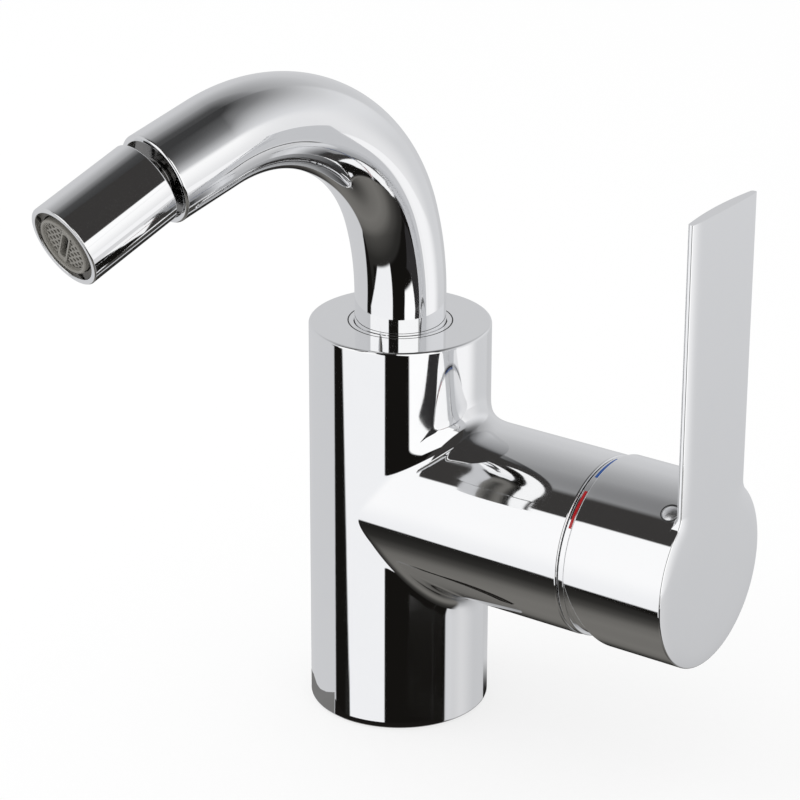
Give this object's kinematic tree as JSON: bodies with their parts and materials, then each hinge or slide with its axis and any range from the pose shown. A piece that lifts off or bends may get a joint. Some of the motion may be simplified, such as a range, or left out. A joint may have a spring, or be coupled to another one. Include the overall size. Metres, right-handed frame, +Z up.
{
  "type": "bidet mixer tap",
  "caption": "Chrome deck-mounted bidet mixer: upright round body, side barrel with a cartridge and flat lever handle, swivelling bent tube spout and a ball-jointed outlet with an aerator.",
  "frame": {"origin": "centre of the body's base, on the deck", "axes": "+Z up along the body, +X along the side barrel towards the lever, -Y towards the user, where the spout points"},
  "size_m": [0.1255, 0.1276, 0.1762],
  "materials": {
    "chrome_plate": "polished chrome plate",
    "bare_brass": "machined",
    "black_rubber": "moulded",
    "white_plastic": "moulded",
    "grey_plastic": "moulded",
    "black_plastic": "moulded",
    "ceramic_disc": "lapped ceramic",
    "steel_screw": "turned",
    "red_enamel": "enamel",
    "blue_enamel": "enamel"
  },
  "bodies": {
    "body": {"body_casting": "chrome_plate", "base_gasket": "black_rubber", "cartridge_base": "white_plastic", "base_port_seals": "black_rubber", "fixed_disc": "ceramic_disc", "disc_port_seals": "black_rubber", "cartridge_housing": "white_plastic", "cartridge_nut": "bare_brass", "indicator_ring": "chrome_plate", "hot_mark": "red_enamel", "cold_mark": "blue_enamel", "spout_thrust_ring": "white_plastic", "spout_lock_screw": "steel_screw"},
    "temperature_rotor": {"rotor": "grey_plastic", "pivot_pin": "steel_screw"},
    "disc_carriage": {"moving_disc": "ceramic_disc", "disc_carrier": "grey_plastic"},
    "lever": {"stem": "bare_brass", "stem_sleeve": "white_plastic", "handle": "chrome_plate", "grub_screw": "steel_screw", "grub_plug": "chrome_plate"},
    "spout": {"spout_tube": "chrome_plate", "spout_spigot": "bare_brass", "spout_o_rings": "black_rubber", "spout_glide_rings": "white_plastic", "ball_nipple": "chrome_plate", "nipple_o_ring": "black_rubber"},
    "pan_ring": {"slip_ring": "black_plastic"},
    "outlet": {"outlet_shell": "chrome_plate", "ball_retainer": "bare_brass", "aerator_washer": "black_rubber", "aerator_housing": "grey_plastic", "jet_plate": "white_plastic", "aerator_grid": "grey_plastic"}
  },
  "joints": [
    {"name": "temperature", "type": "hinge", "parent": "body", "child": "temperature_rotor", "pos_m": [0.0643, 0, 0.0582], "axis": [1, 0, 0], "range_deg": [-45, 45]},
    {"name": "flow", "type": "hinge", "parent": "temperature_rotor", "child": "lever", "pos_m": [0.0643, 0, 0.0582], "axis": [0, 1, 0], "range_deg": [0, 18]},
    {"name": "disc_slide", "type": "slide", "parent": "temperature_rotor", "child": "disc_carriage", "axis": [0, 0, 1], "range_m": [0, 0.00579]},
    {"name": "spout_swivel", "type": "hinge", "parent": "body", "child": "spout", "pos_m": [0, 0, 0.0916], "axis": [0, 0, 1], "range_deg": [-31.8, 58.2]},
    {"name": "outlet_pan", "type": "hinge", "parent": "spout", "child": "pan_ring", "pos_m": [-0.01912, -0.08152, 0.15518], "axis": [-0.0668, -0.2846, 0.9563], "range_deg": [-12, 12]},
    {"name": "outlet_tilt", "type": "hinge", "parent": "pan_ring", "child": "outlet", "pos_m": [-0.01912, -0.08152, 0.15518], "axis": [0.9736, -0.2284, 0], "range_deg": [-17.7, 6.3]}
  ],
  "couplings": [
    {"joint": "disc_slide", "follows": "flow", "m_per_rad": 0.018394}
  ]
}
